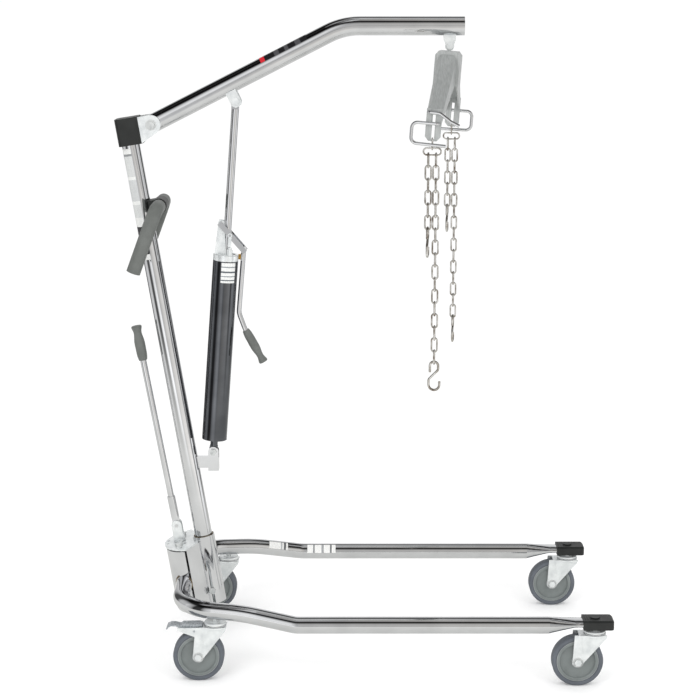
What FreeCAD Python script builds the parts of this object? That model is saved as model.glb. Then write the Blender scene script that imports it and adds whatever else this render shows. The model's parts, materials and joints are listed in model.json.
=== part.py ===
import FreeCAD, Part
import math
import os

# Patient lift hoist: hydraulic floor lift on castors, boom raised, legs closed.
# Millimetres. +X forward over the legs, +Y to the hoist's left, +Z up, floor at Z = 0.

Vec = FreeCAD.Vector
alongX = Vec(1, 0, 0)
alongY = Vec(0, 1, 0)
alongZ = Vec(0, 0, 1)

# Driving dimensions
footX = -368.2            # where the mast axis meets the floor
mastLean = 9.2            # degrees, top leans back
mastRadius = 22.5
mastTop = 1386.0          # along the mast axis
wallThick = 2.0
socketRadius = 28.0
socketLow = 116.0
socketHigh = 298.0

boomRadius = 23.5
boomPivot = Vec(footX - 158.0, 0, 1360.0)
boomBend = Vec(footX + 317.0, 0, 1600.0)
boomEndX = footX + 612.0
hangerX = footX + 580.0
hangerPin = Vec(hangerX, 0, 1551.0)
ramUpper = Vec(footX + 51.0, 0, 1417.0)
ramLower = Vec(footX - 18.0, 0, 519.5)

cylinderRadius = 32.0
cylinderBore = 27.0
cylinderLow = 33.0        # from the lower pin, along the ram
cylinderHigh = 500.0
headHigh = 516.0
rodRadius = 9.5
glandPlay = 15.0          # sideways room each way in the opened gland
valveSide = 18.0
rodEnd = 236.0            # lower end of the rod, from the lower pin

legRadius = 21.0
legZ = 153.0
legY = 290.0
kinkX = footX + 200.0
rearSwivel = Vec(footX - 1.0, 256.0, 0)
frontSwivel = Vec(footX + 938.0, legY, 0)
tongueZ = 160.0           # flattened front end of the leg
tongueHalf = 9.5
capLow = 149.0
capHigh = 172.5
legOpen = 11.0            # degrees each side
wheelRadius = 63.5
wheelWidth = 32.0
trail = 41.5
stemRadius = 6.0
brakeBack = 51.0          # brake pedal pin, behind the swivel
axleRadius = 5.0
runFit = 0.05

shaftBack = -64.0         # shifter shaft, behind the mast axis
pivotBack = -62.0         # leg pivots
pivotSide = 42.0
pivotRadius = 6.0
followerBack = -46.0      # follower pins on the legs' arms, driven by the cam slots
followerSide = 15.0
followerRadius = 3.0
camRadius = 35.2
camLow = 209.0
camThick = 6.0
leverRadius = 8.0
leverSwing = 36.0         # degrees of shifter for the full leg spread
plateHigh = 287.0
plateLow = 112.0

cradleYaw = -8.6          # degrees, turned on its hanger
cradleTilt = 4.2          # degrees, swung on the hanger bolt
cradleTop = 1539.0
tipY = 242.0
tipHalf = 18.5
chainOffset = 9.2
linkWire = 2.1
linkLong = 38.4
linkWide = 17.6
linkPitch = 29.7
hookWire = 3.0
ringLow = -34.7           # spreader ring's lower wire, below the tip's bridge
bridgeZ = 1338.0
ringWire = 2.0

os.makedirs("parts", exist_ok=True)


def cyl(radius, height, base, direction=alongZ):
    return Part.makeCylinder(radius, height, base, direction)


def block(low, high):
    return Part.makeBox(high.x - low.x, high.y - low.y, high.z - low.z, low)


def mirrored(shape):
    return shape.mirror(Vec(0, 0, 0), alongY)


def lean(shape):
    # local mast frame (mast axis on Z through the origin) to the hoist's frame
    moved = shape.copy()
    moved.rotate(Vec(0, 0, 0), alongY, -mastLean)
    moved.translate(Vec(footX, 0, 0))
    return moved


ramRun = ramUpper - ramLower
ramTilt = math.degrees(math.atan2(ramRun.x, ramRun.z))


def onRam(shape):
    # local ram frame (lower pin at the origin, ram on Z) to the hoist's frame
    moved = shape.copy()
    moved.rotate(Vec(0, 0, 0), alongY, ramTilt)
    moved.translate(ramLower)
    return moved


def onHanger(shape):
    # local frame with the swivel on Z, swung on the hanger bolt
    moved = shape.copy()
    moved.translate(Vec(hangerX, 0, 0))
    moved.rotate(hangerPin, alongY, cradleTilt)
    return moved


def onCradle(shape):
    # local cradle frame (swivel on Z, arms along Y) to the hoist's frame
    moved = shape.copy()
    moved.rotate(Vec(0, 0, 0), alongZ, cradleYaw)
    return onHanger(moved)


def onTip(shape, side):
    # plumb frame below a cradle tip, its origin in the tip's bridge
    bridge = onCradle(Part.Vertex(Vec(0, side * (tipY - 2), bridgeZ))).Point
    moved = shape.copy()
    moved.rotate(Vec(0, 0, 0), alongZ, cradleYaw)
    moved.translate(bridge)
    return moved


def plate(points, thickness, direction):
    wire = Part.makePolygon(points + [points[0]])
    return Part.Face(wire).extrude(direction * thickness)


def sidePlate(points, yLow, yHigh):
    # flat plate in X and Z, between two Y values
    return plate([Vec(x, yLow, z) for x, z in points], yHigh - yLow, alongY)


def bentPath(points, bends):
    # straight runs joined by tangent arcs
    edges = []
    start = points[0]
    for index in range(1, len(points) - 1):
        corner = points[index]
        back = (points[index - 1] - corner).normalize()
        ahead = (points[index + 1] - corner).normalize()
        half = back.getAngle(ahead) / 2
        cutBack = bends[index - 1] / math.tan(half)
        arcStart = corner + back * cutBack
        arcEnd = corner + ahead * cutBack
        middle = (back + ahead).normalize()
        reach = bends[index - 1] / math.sin(half) - bends[index - 1]
        edges.append(Part.LineSegment(start, arcStart).toShape())
        edges.append(Part.Arc(arcStart, corner + middle * reach, arcEnd).toShape())
        start = arcEnd
    edges.append(Part.LineSegment(start, points[-1]).toShape())
    return Part.Wire(edges)


def rod(points, bends, radius):
    path = bentPath(points, bends)
    heading = points[1] - points[0]
    ring = Part.Wire(Part.makeCircle(radius, points[0], heading))
    return path.makePipeShell([ring], True, False)


def tube(points, bends, radius, wall):
    return rod(points, bends, radius).cut(rod(points, bends, radius - wall))


def save(name, pieces):
    solids = []
    for piece in pieces:
        solids.extend(piece.Solids)
    shape = solids[0] if len(solids) == 1 else Part.makeCompound(solids)
    shape.exportStep("parts/" + name + ".step")
    print(name, len(solids), round(shape.Volume / 1000, 1), "cm3")


def hexBolt(radius, low, high, base, direction, headRadius, headHigh):
    # shank with a hexagon at both ends, as a bolt and its nut, fused in one solid
    run = high - low + 2 * headHigh - 0.2
    shank = cyl(radius, run, base + direction * (low - headHigh + 0.1), direction)
    bolt = shank
    for start in (low - headHigh, high):
        flat = Part.makePolygon(hexagon(headRadius, base + direction * start, direction))
        bolt = bolt.fuse(Part.Face(flat).extrude(direction * headHigh))
    return bolt.removeSplitter()


def toMast(point):
    # a point of the hoist's frame in the local mast frame
    turn = math.radians(mastLean)
    x = point.x - footX
    return Vec(x * math.cos(turn) + point.z * math.sin(turn), point.y,
               -x * math.sin(turn) + point.z * math.cos(turn))


def hexagon(radius, centre, direction):
    side = alongX if abs(direction.x) < 0.5 else alongZ
    side = (side - direction * side.dot(direction)).normalize()
    other = direction.cross(side)
    corners = []
    for index in range(7):
        turn = math.radians(60 * index)
        corners.append(centre + side * (radius * math.cos(turn)) + other * (radius * math.sin(turn)))
    return corners


# Mast, its socket and the base plates
def makeMast():
    mast = cyl(mastRadius, mastTop - socketLow, Vec(0, 0, socketLow))
    mast = mast.cut(cyl(mastRadius - wallThick, mastTop - socketLow, Vec(0, 0, socketLow)))
    cross = cyl(5.0, 2 * socketRadius + 20, Vec(0, -socketRadius - 10, 152), alongY)
    save("mast_tube", [lean(mast.cut(cross))])

    socket = cyl(socketRadius, socketHigh - socketLow, Vec(0, 0, socketLow))
    for side in (-1, 1):
        near = Vec(-8, side * 22, socketLow)
        far = Vec(-43, side * 74, socketLow)
        across = (far - near).cross(alongZ).normalize() * 2.0
        corners = [near - across, far - across, far + across, near + across]
        socket = socket.fuse(plate(corners, plateHigh - socketLow, alongZ))
    socket = socket.cut(cyl(mastRadius, socketHigh, Vec(0, 0, 0))).cut(cross).removeSplitter()
    save("mast_socket", [lean(socket)])

    plates = []
    for low, thick, half, back, front in ((plateHigh, 4.0, 86.0, -104.0, -14.0),
                                          (plateLow, 4.0, 70.0, -99.0, -14.0)):
        rear = Part.Arc(Vec(-42, -half, low), Vec(back, 0, low), Vec(-42, half, low)).toShape()
        sides = [Vec(-42, half, low), Vec(front, 34, low), Vec(front, -34, low), Vec(-42, -half, low)]
        outline = Part.Wire([rear] + Part.makePolygon(sides).Edges)
        base = Part.Face(outline).extrude(alongZ * thick)
        base = base.cut(cyl(socketRadius, 400, Vec(0, 0, 0)))
        base = base.cut(cyl(10 + runFit, 400, Vec(shaftBack, 0, 0)))
        for side in (-1, 1):
            base = base.cut(cyl(pivotRadius, 400, Vec(pivotBack, side * pivotSide, 0)))
        if low == plateHigh:
            # index holes for the shifter, behind and beside its shaft
            for turn in (118, 160, 202, 244, 300):
                angle = math.radians(turn)
                spot = Vec(shaftBack + 33 * math.cos(angle), 33 * math.sin(angle), 0)
                if turn in (118, 244):
                    spot = Vec(shaftBack + 8, 64 * math.copysign(1, math.sin(angle)), 0)
                base = base.cut(cyl(4, 400, spot))
        plates.append(lean(base))
    save("base_plates", plates)

    pins = []
    for side in (-1, 1):
        spot = Vec(pivotBack, side * pivotSide, 0)
        pin = hexBolt(pivotRadius, plateLow, plateHigh + 4, spot, alongZ, 10.5, 7)
        pins.append(lean(pin))
    screw = hexBolt(5, -socketRadius - 2, socketRadius + 2, Vec(0, 0, 152), alongY, 9, 5)
    pins.append(lean(screw))
    save("base_bolts", pins)


# Mast head: boot, ear plates and the bolts through them
def makeMastHead():
    pivot = toMast(boomPivot)
    clampBolt = Vec(27.2, 0, 1340)
    # flat ear with a round end about the boom pivot, its back end inside the boot
    outline = [(6, 1330), (33, 1327), (72.1, 1346.3), (pivot.x, pivot.z), (pivot.x, pivot.z + 24),
               (6, pivot.z + 24)]
    ears = []
    for side in (-1, 1):
        yLow = 26.0 if side > 0 else -31.0
        ear = sidePlate(outline, yLow, yLow + 5).fuse(cyl(24, 5, Vec(pivot.x, yLow, pivot.z), alongY))
        ear = ear.cut(cyl(6, 100, pivot - alongY * 50, alongY))
        ear = ear.cut(cyl(4, 100, clampBolt - alongY * 50, alongY))
        ears.append(lean(ear.removeSplitter()))
    save("boom_ears", ears)

    boot = block(Vec(-26.5, -34, 1326), Vec(34, 34, 1393.5))
    upright = [edge for edge in boot.Edges if abs(edge.Vertexes[0].Z - edge.Vertexes[1].Z) > 60]
    boot = boot.makeFillet(9, upright)
    boot = boot.cut(cyl(mastRadius, mastTop, Vec(0, 0, 0))).cut(cyl(4, 60, clampBolt - alongY * 30, alongY))
    # the boom's rear end turns between the ears, so the boot's front is hollowed round the pivot
    boot = boot.cut(cyl(36, 51.8, pivot - alongY * 25.9, alongY))
    for side in (-1, 1):
        yLow = 25.8 if side > 0 else -31.2
        boot = boot.cut(sidePlate([(5.8, 1320), (40, 1320), (40, 1392), (5.8, 1392)], yLow, yLow + 5.4))
    save("mast_boot", [lean(boot)])

    bolts = []
    bolts.append(lean(hexBolt(6, -33, 33, pivot, alongY, 10, 6)))
    for side in (-1, 1):
        washerLow = 31.0 if side > 0 else -33.0
        washer = cyl(13, 2, Vec(pivot.x, washerLow, pivot.z), alongY)
        washer = washer.cut(cyl(6, 200, pivot - alongY * 100, alongY))
        bolts.append(lean(washer))
    bolts.append(lean(cyl(4, 62, clampBolt - alongY * 31, alongY)))
    bolts.append(hexBolt(5, -13, 13, ramLower, alongY, 9, 5))
    save("frame_bolts", bolts)


# Push handle with its two grips
def makePushHandle():
    crossU = 45.0
    crossW = 1166.0
    endU = -34.0
    endW = 1028.0
    half = 118.0
    barRadius = 12.5
    drop = Vec(endU - crossU, 0, endW - crossW)
    start = Vec(crossU, -half, crossW) + drop
    finish = Vec(crossU, half, crossW) + drop
    corners = [start, Vec(crossU, -half, crossW), Vec(crossU, half, crossW), finish]
    bar = tube(corners, [32, 32], barRadius, 2.0)
    save("push_handle", [lean(bar)])

    # each grip covers its arm, the bend and part of the cross tube
    grips = []
    unit = Vec(drop).normalize()
    solidBar = rod(corners, [32, 32], barRadius)
    for side in (-1, 1):
        corner = Vec(crossU, side * half, crossW)
        sleeve = rod([corner - alongY * (side * 80), corner, corner + drop + unit * 5], [32], 17.5)
        grips.append(lean(sleeve.cut(solidBar)))
    save("push_grips", grips)

    clamp = block(Vec(19, -24, crossW - 16), Vec(crossU, 24, crossW + 16)).fuse(
        cyl(19, 60, Vec(crossU, -30, crossW), alongY))
    clamp = clamp.cut(cyl(mastRadius, 2000, Vec(0, 0, 0)))
    clamp = clamp.cut(cyl(barRadius, 400, Vec(crossU, -200, crossW), alongY))
    save("handle_clamp", [lean(clamp)])


# Lower ram bracket on the mast
def makeLowerBracket():
    # upright clevis block, welded to the mast by a flat lug
    half = 13.5
    post = block(ramLower + Vec(-half, -13, -50), ramLower + Vec(half, 13, 0)).fuse(
        cyl(half, 26, ramLower - alongY * 13, alongY))
    post = post.cut(block(ramLower + Vec(-20, -7.2, -17), ramLower + Vec(20, 7.2, 20)))
    lug = block(ramLower + Vec(-70, -6, -44), ramLower + Vec(-half, 6, -14))
    bracket = post.fuse(lug).cut(lean(cyl(mastRadius, 2000, Vec(0, 0, 0))))
    bracket = bracket.cut(cyl(5, 100, ramLower - alongY * 50, alongY))
    front = [solid for solid in bracket.Solids if solid.BoundBox.XMax > ramLower.x]
    save("ram_lower_bracket", [front[0].removeSplitter()])


# One side of the base: leg tube, pivot shell, toe cap and castor stems
def shellOutline(low):
    outer = Part.Arc(Vec(-46, -80, low), Vec(-85, -54, low), Vec(-100, -12, low)).toShape()
    inner = Part.Arc(Vec(-46, -76, low), Vec(-81.5, -51.5, low), Vec(-96, -12, low)).toShape()
    caps = [Part.LineSegment(Vec(-46, -80, low), Vec(-46, -76, low)).toShape(),
            Part.LineSegment(Vec(-100, -12, low), Vec(-96, -12, low)).toShape()]
    return outer, inner, caps


def makeLeg(side, label):
    # drawn on the right-hand side (negative Y), mirrored for the left
    low = 120.0
    high = 283.0
    outer, inner, caps = shellOutline(low)
    skin = Part.Face(Part.Wire(Part.__sortEdges__([outer, inner] + caps))).extrude(alongZ * (high - low))
    pivot = Vec(pivotBack, -pivotSide, 0)
    follower = Vec(followerBack, -followerSide, 0)
    hub = cyl(13, high - low, pivot + alongZ * low)
    shell = skin.fuse(hub)
    for webLow in (134.0, 192.0, 262.0):
        # web from the pivot hub out to the skin
        rim = Part.Arc(Vec(-60, -71, webLow), Vec(-82.5, -51.5, webLow), Vec(-92, -32, webLow)).toShape()
        close = Part.makePolygon([Vec(-92, -32, webLow), pivot + alongZ * webLow, Vec(-60, -71, webLow)])
        shell = shell.fuse(Part.Face(Part.Wire([rim] + close.Edges)).extrude(alongZ * 6))
    reachOut = follower - pivot
    sideways = reachOut.cross(alongZ).normalize() * 6
    armCorners = [pivot + sideways, follower + sideways, follower - sideways, pivot - sideways]
    arm = plate([corner + alongZ * (camLow - 12) for corner in armCorners], 8, alongZ)
    shell = shell.cut(cyl(16, camThick + 6, pivot + alongZ * (camLow - 3)))
    shell = shell.fuse(arm).fuse(cyl(7, 8, follower + alongZ * (camLow - 12)))
    shell = shell.fuse(cyl(followerRadius, camThick + 14, follower + alongZ * (camLow - 12)))
    shell = shell.cut(cyl(pivotRadius + runFit, 400, pivot)).removeSplitter()

    # leg tube: straight, a kink, a short rise, then a wide bend square in to the shell
    front = Vec(footX + 825, -legY, legZ)
    points = [front, Vec(kinkX, -legY, legZ), Vec(footX + 70, -268, 175), Vec(footX - 92, -238, 180),
              Vec(footX - 94, -44, 186)]
    leg = tube(points, [60, 500, 105], legRadius, wallThick)
    inside = Part.Face(Part.Wire(Part.__sortEdges__(
        [outer] + Part.makePolygon([Vec(-100, -12, low), Vec(-20, -12, low), Vec(-20, -66, low),
                                    Vec(-46, -80, low)]).Edges))).extrude(alongZ * 200)
    leg = leg.cut(lean(inside))
    # front end flattened for the castor stem
    roundEnd = Part.Wire(Part.makeCircle(legRadius, front, alongX))
    flatEnd = Part.Wire(Part.Ellipse(Vec(0, 0, 0), 25.5, tongueHalf).toShape())
    flatEnd.rotate(Vec(0, 0, 0), alongY, 90)
    flatEnd.rotate(Vec(0, 0, 0), alongX, 90)
    flatEnd.translate(Vec(footX + 888, -legY, tongueZ))
    squash = Part.makeLoft([roundEnd, flatEnd], True)
    tongue = Part.Face(flatEnd).extrude(alongX * 78)
    stemTop = cyl(stemRadius, 37, Vec(frontSwivel.x, -frontSwivel.y, 133))
    rearStem = cyl(stemRadius, 30, Vec(rearSwivel.x, -rearSwivel.y, 140))
    leg = leg.fuse(squash).fuse(tongue)
    leg = leg.cut(stemTop).cut(rearStem)

    cap = block(Vec(footX + 907.5, -legY - 28, capLow), Vec(footX + 983, -legY + 28, capHigh))
    corner = [edge for edge in cap.Edges if abs(edge.Vertexes[0].Z - edge.Vertexes[1].Z) > 20]
    cap = cap.makeFillet(9, [edge for edge in corner if edge.Vertexes[0].X > footX + 950])
    top = [edge for edge in cap.Edges if edge.BoundBox.ZMin > capHigh - 0.1]
    nose = [edge for edge in top if edge.BoundBox.XMax > footX + 950]
    cap = cap.makeChamfer(4, nose)
    button = cyl(12, 3.5, Vec(frontSwivel.x, -frontSwivel.y, capHigh - 0.5))
    cap = cap.fuse(button).cut(tongue).cut(squash).cut(stemTop)

    stems = []
    spots = ((Vec(frontSwivel.x, -frontSwivel.y, 0), 137.4, 142.0, 169.5, capLow),
             (Vec(rearSwivel.x, -rearSwivel.y, 0), 145.4, 151.0, 170.0, 152.0))
    for spot, raceLow, raceHigh, top, bossHigh in spots:
        race = cyl(27, raceHigh - raceLow, spot + alongZ * raceLow)
        race = race.makeFillet(1.8, [race.Edges[0]])
        boss = cyl(14, bossHigh - raceLow, spot + alongZ * raceLow)
        stem = race.fuse(boss).fuse(cyl(stemRadius, top - raceLow + 9, spot + alongZ * (raceLow - 9)))
        stem = stem.cut(leg)
        stems.append(max(stem.Solids, key=lambda solid: solid.Volume))
    shapes = {"leg_tube_": [leg], "leg_shell_": [lean(shell)], "toe_cap_": [cap], "castor_stems_": stems}
    for name, pieces in shapes.items():
        if side > 0:
            pieces = [mirrored(piece) for piece in pieces]
        save(name + label, pieces)


# One castor: fork with its axle bolt, wheel hub and tyre
def makeCastor(spot, label, forkTop, pedal):
    axle = Vec(spot.x - trail, spot.y, wheelRadius)
    crown = cyl(28, 4, Vec(spot.x, spot.y, forkTop - 4))
    rear = block(Vec(spot.x - 40, spot.y - 22, forkTop - 4), Vec(spot.x, spot.y + 22, forkTop))
    fork = crown.fuse(rear)
    race = Part.makeCone(26, 22, 4, Vec(spot.x, spot.y, forkTop))
    fork = fork.fuse(race)
    sideShape = [(spot.x - 51, forkTop), (spot.x + 29, forkTop), (spot.x + 27, forkTop - 7),
                 (axle.x + 12, axle.z - 3), (axle.x + 6, axle.z - 12), (axle.x - 6, axle.z - 12),
                 (axle.x - 14, axle.z - 4)]
    if pedal:
        # the rear forks run back into a housing for the brake pedal
        sideShape[0] = (spot.x - 93, forkTop - 1)
        sideShape += [(spot.x - 50, forkTop - 24), (spot.x - 92, forkTop - 8)]
    for yLow in (spot.y - 22, spot.y + 18.5):
        fork = fork.fuse(sidePlate(sideShape, yLow, yLow + 3.5))
    fork = fork.cut(cyl(stemRadius + runFit, 60, Vec(spot.x, spot.y, forkTop - 20)))
    fork = fork.cut(cyl(axleRadius, 100, axle - alongY * 50, alongY))
    fork = fork.cut(cyl(wheelRadius + 2.2, 37, axle - alongY * 18.5, alongY))
    if pedal:
        slot = block(Vec(spot.x - 96, spot.y - 18.4, forkTop - 14), Vec(spot.x - 30, spot.y + 18.4, forkTop + 1))
        fork = fork.cut(slot)
        fork = fork.cut(cyl(3, 100, Vec(spot.x - brakeBack, spot.y - 50, forkTop - 9), alongY))
    fork = fork.removeSplitter()
    bolt = hexBolt(axleRadius, -22, 22, axle, alongY, 9, 5)
    save("fork_" + label, [fork, bolt])

    hub = cyl(16, 35, axle - alongY * 17.5, alongY)
    disc = cyl(52, 20, axle - alongY * 10, alongY)
    dish = cyl(42, 8, axle - alongY * 12, alongY)
    rim = cyl(52, 28, axle - alongY * 14, alongY).cut(cyl(44, 28, axle - alongY * 14, alongY))
    hub = hub.fuse(disc).fuse(rim).fuse(dish).cut(cyl(axleRadius + runFit, 100, axle - alongY * 50, alongY))
    save("wheel_" + label, [hub.removeSplitter()])

    tyre = cyl(wheelRadius, wheelWidth, axle - alongY * (wheelWidth / 2), alongY)
    tyre = tyre.makeFillet(7, [tyre.Edges[0], tyre.Edges[2]])
    tyre = tyre.cut(cyl(52, 60, axle - alongY * 30, alongY))
    save("tyre_" + label, [tyre])

    if pedal:
        # pressed cover over the wheel, running out to a tread that curls down
        pin = Vec(spot.x - brakeBack, spot.y, forkTop - 9)
        outline = [(-31, -3), (-31, 5), (-38, 6.5), (-79, 6), (-86, 1.5), (-97, 4.5), (-109, 5), (-118, 1),
                   (-121.5, -7), (-118, -7), (-115, -2), (-108.5, 1.3), (-98, 0.8), (-88, -3), (-84, -5)]
        lever = sidePlate([(spot.x + x, forkTop + z) for x, z in outline], spot.y - 14, spot.y + 14)
        lever = lever.fuse(block(Vec(pin.x - 5, pin.y - 14, pin.z), Vec(pin.x + 5, pin.y + 14, forkTop)))
        lever = lever.fuse(cyl(4.5, 28, Vec(pin.x, spot.y - 14, pin.z), alongY))
        lever = lever.fuse(cyl(3 - runFit, 44, Vec(pin.x, spot.y - 22, pin.z), alongY))
        save("brake_pedal_" + label.replace("rear_", ""), [lever.removeSplitter()])


# Boom with its brackets, plug and ram pin
def makeBoom():
    run = (boomBend - boomPivot).normalize()
    start = boomPivot - run * 24
    end = Vec(boomEndX, 0, boomBend.z)
    boom = tube([start, boomBend, end], [170], boomRadius, wallThick)
    pinHole = cyl(6 + runFit, 100, boomPivot - alongY * 50, alongY)
    save("boom_tube", [boom.cut(pinHole)])

    plug = cyl(boomRadius, 4, end, alongX).fuse(cyl(boomRadius - wallThick, 20, end - alongX * 20, alongX))
    save("boom_plug", [plug])

    solidBoom = rod([start, boomBend, end], [170], boomRadius)
    brackets = []
    ears = [(-13.5, 60), (13.5, 60), (13.5, -6), (6.5, -15), (-6.5, -15), (-13.5, -6)]
    slope = math.degrees(math.atan2(run.z, run.x))
    for yLow in (-17, 12):
        ear = sidePlate(ears, yLow, yLow + 5)
        ear.rotate(Vec(0, 0, 0), alongY, -slope)
        ear.translate(ramUpper)
        ear = ear.cut(solidBoom).cut(cyl(6, 100, ramUpper - alongY * 50, alongY))
        lowest = min(ear.Solids, key=lambda solid: solid.BoundBox.ZMin)
        brackets.append(lowest)
    lugShape = [(-14.8, 49), (14.8, 49), (14.8, 16), (9.3, 2), (-9.3, 2), (-14.8, 16)]
    for yLow in (-9.5, 5.2):
        # two cheeks hold the hanger bolt below the boom's front end
        lug = sidePlate([(hangerPin.x + x, hangerPin.z + z) for x, z in lugShape], yLow, yLow + 4.3)
        lug = lug.fuse(cyl(9.5, 4.3, hangerPin + alongY * yLow, alongY)).cut(solidBoom)
        lug = lug.cut(cyl(5, 60, hangerPin - alongY * 30, alongY))
        lowest = min(lug.Solids, key=lambda solid: solid.BoundBox.ZMin)
        brackets.append(lowest.removeSplitter())
    save("boom_brackets", brackets)
    save("ram_upper_pin", [hexBolt(6, -17, 17, ramUpper, alongY, 10, 5)])


# Hanger bolt under the boom end, and the eye bolt the cradle turns on
def makeHanger():
    save("hanger_bolt", [hexBolt(5, -9.5, 9.5, hangerPin, alongY, 8, 4)])
    # eye bolt on the hanger bolt; its shank goes down through the cradle's roof to a nut
    pin = Vec(0, 0, hangerPin.z)
    eye = cyl(11, 9, pin - alongY * 4.5, alongY)
    eye = eye.makeFillet(2, [eye.Edges[0], eye.Edges[2]])
    eye = eye.fuse(cyl(4.5, pin.z - 7 - 1526, Vec(0, 0, 1526)))
    nut = Part.Face(Part.makePolygon(hexagon(9, Vec(0, 0, 1527.5), alongZ))).extrude(alongZ * 7)
    eye = eye.fuse(nut).cut(cyl(5 + runFit, 60, pin - alongY * 30, alongY))
    save("hanger_eye", [onHanger(eye.removeSplitter())])


# Cradle: tapered channel arms with slotted tips, wire hooks and rings
def channel(stations):
    # loft along Y through box sections with chamfered top edges
    sections = []
    for y, half, low, high in stations:
        outline = [(-half, low), (-half, high - 10), (-half + 8, high), (half - 8, high), (half, high - 10),
                   (half, low), (-half, low)]
        sections.append(Part.makePolygon([Vec(x, y, z) for x, z in outline]))
    return Part.makeLoft(sections, True, True)


def makeCradle():
    box = channel(((-32.0, 31.0, 1455.0, cradleTop), (32.0, 31.0, 1455.0, cradleTop)))
    arm = channel(((26.0, 23.5, 1462.0, 1535.0), (238.0, tipHalf, 1378.0, 1412.0)))
    boxInside = channel(((-28.5, 27.5, 1400.0, cradleTop - 4), (28.5, 27.5, 1400.0, cradleTop - 4)))
    armInside = channel(((18.0, 20.0, 1420.0, 1531.0), (238.0, tipHalf - 3.5, 1330.0, 1408.0)))
    body = box.fuse([arm, mirrored(arm)]).cut(boxInside.fuse([armInside, mirrored(armInside)]))
    for side in (-1, 1):
        yLow = 238.0 if side > 0 else -tipY
        tip = block(Vec(-tipHalf, yLow, 1346), Vec(tipHalf, yLow + 4, 1412))
        tip = tip.fuse(cyl(11, 4, Vec(0, yLow, 1346), alongY)).fuse(
            sidePlate([(-tipHalf, 1346), (tipHalf, 1346), (10, 1336), (-10, 1336)], yLow, yLow + 4))
        tip = tip.cut(block(Vec(-3.5, yLow - 1, 1341), Vec(3.5, yLow + 5, 1398)))
        body = body.fuse(tip)
    body = body.cut(cyl(4.5 + runFit, 60, Vec(0, 0, 1500))).removeSplitter()
    save("cradle_body", [onCradle(body)])

    wires = []
    loop = [Vec(12, -tipY, 1378), Vec(12, -252, 1378), Vec(-50, -252, 1378), Vec(-50, -252, 1329),
            Vec(34, -252, 1327)]
    bar = [Vec(-13, -tipY, 1404), Vec(-13, -252, 1404), Vec(14, -252, 1403), Vec(40, -252, 1386),
           Vec(62, -252, 1377)]
    for points, bends in ((loop, [5, 14, 14]), (bar, [5, 15, 20])):
        wire = rod(points, bends, 4)
        wires.append(wire)
        turned = wire.copy()
        turned.rotate(Vec(0, 0, 0), alongZ, 180)
        wires.append(turned)
    save("hook_wires", [onCradle(wire) for wire in wires])

    rings = []
    for side in (-1, 1):
        rings.append(onTip(link(Vec(0, 0, -8.5), 1.5, 31, 12, alongY), side))
        rings.append(onTip(link(Vec(0, 0, ringLow + 8), ringWire, 20, 46, alongX), side))
    save("chain_rings", rings)


def link(centre, wireRadius, outerLong, outerWide, across):
    # closed oval link: its long way is Z, its width along the given direction
    halfWide = outerWide / 2 - wireRadius
    halfLong = outerLong / 2 - wireRadius
    bend = min(halfWide, halfLong) * 0.995
    side = across * halfWide
    end = alongZ * halfLong
    corners = [centre - end, centre - end + side, centre + end + side, centre + end - side,
               centre - end - side, centre - end]
    path = bentPath(corners, [bend] * 4)
    ring = Part.Wire(Part.makeCircle(wireRadius, corners[0], across))
    return path.makePipeShell([ring], True, False)


def sHook(crown, across):
    # open S of bent wire below a link, drawn in Z and the given direction
    plan = [(-10, -26), (-10, 0), (10, 0), (10, -20), (-13, -44), (-13, -70), (13, -70), (13, -48)]
    points = [crown + across * x + alongZ * z for x, z in plan]
    return rod(points, [9.9, 9.9, 9, 9, 12.9, 12.9], hookWire)


# Chains and their S-hooks
def makeChains():
    for sideName, side, longCount in (("right", -1, 17), ("left", 1, 16)):
        for sizeName, count, x in (("short", 6, -chainOffset), ("long", longCount, chainOffset)):
            top = ringLow + ringWire + 2 * linkWire + 0.3
            links = []
            for index in range(count):
                middle = Vec(x, 0, top - linkLong / 2 - index * linkPitch)
                across = alongY if index % 2 == 0 else alongX
                links.append(link(middle, linkWire, linkLong, linkWide, across))
            lowWire = top - linkLong + linkWire - (count - 1) * linkPitch
            crown = Vec(x, 0, lowWire + linkWire + hookWire + 0.2)
            # the hook is wide across the last link
            hook = sHook(crown, alongX if count % 2 else alongY)
            name = sideName + "_" + sizeName
            if sizeName == "short":
                links.append(hook)
            else:
                save("s_hook_" + name, [onTip(hook, side)])
            save("chain_" + name, [onTip(piece, side) for piece in links])


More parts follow.
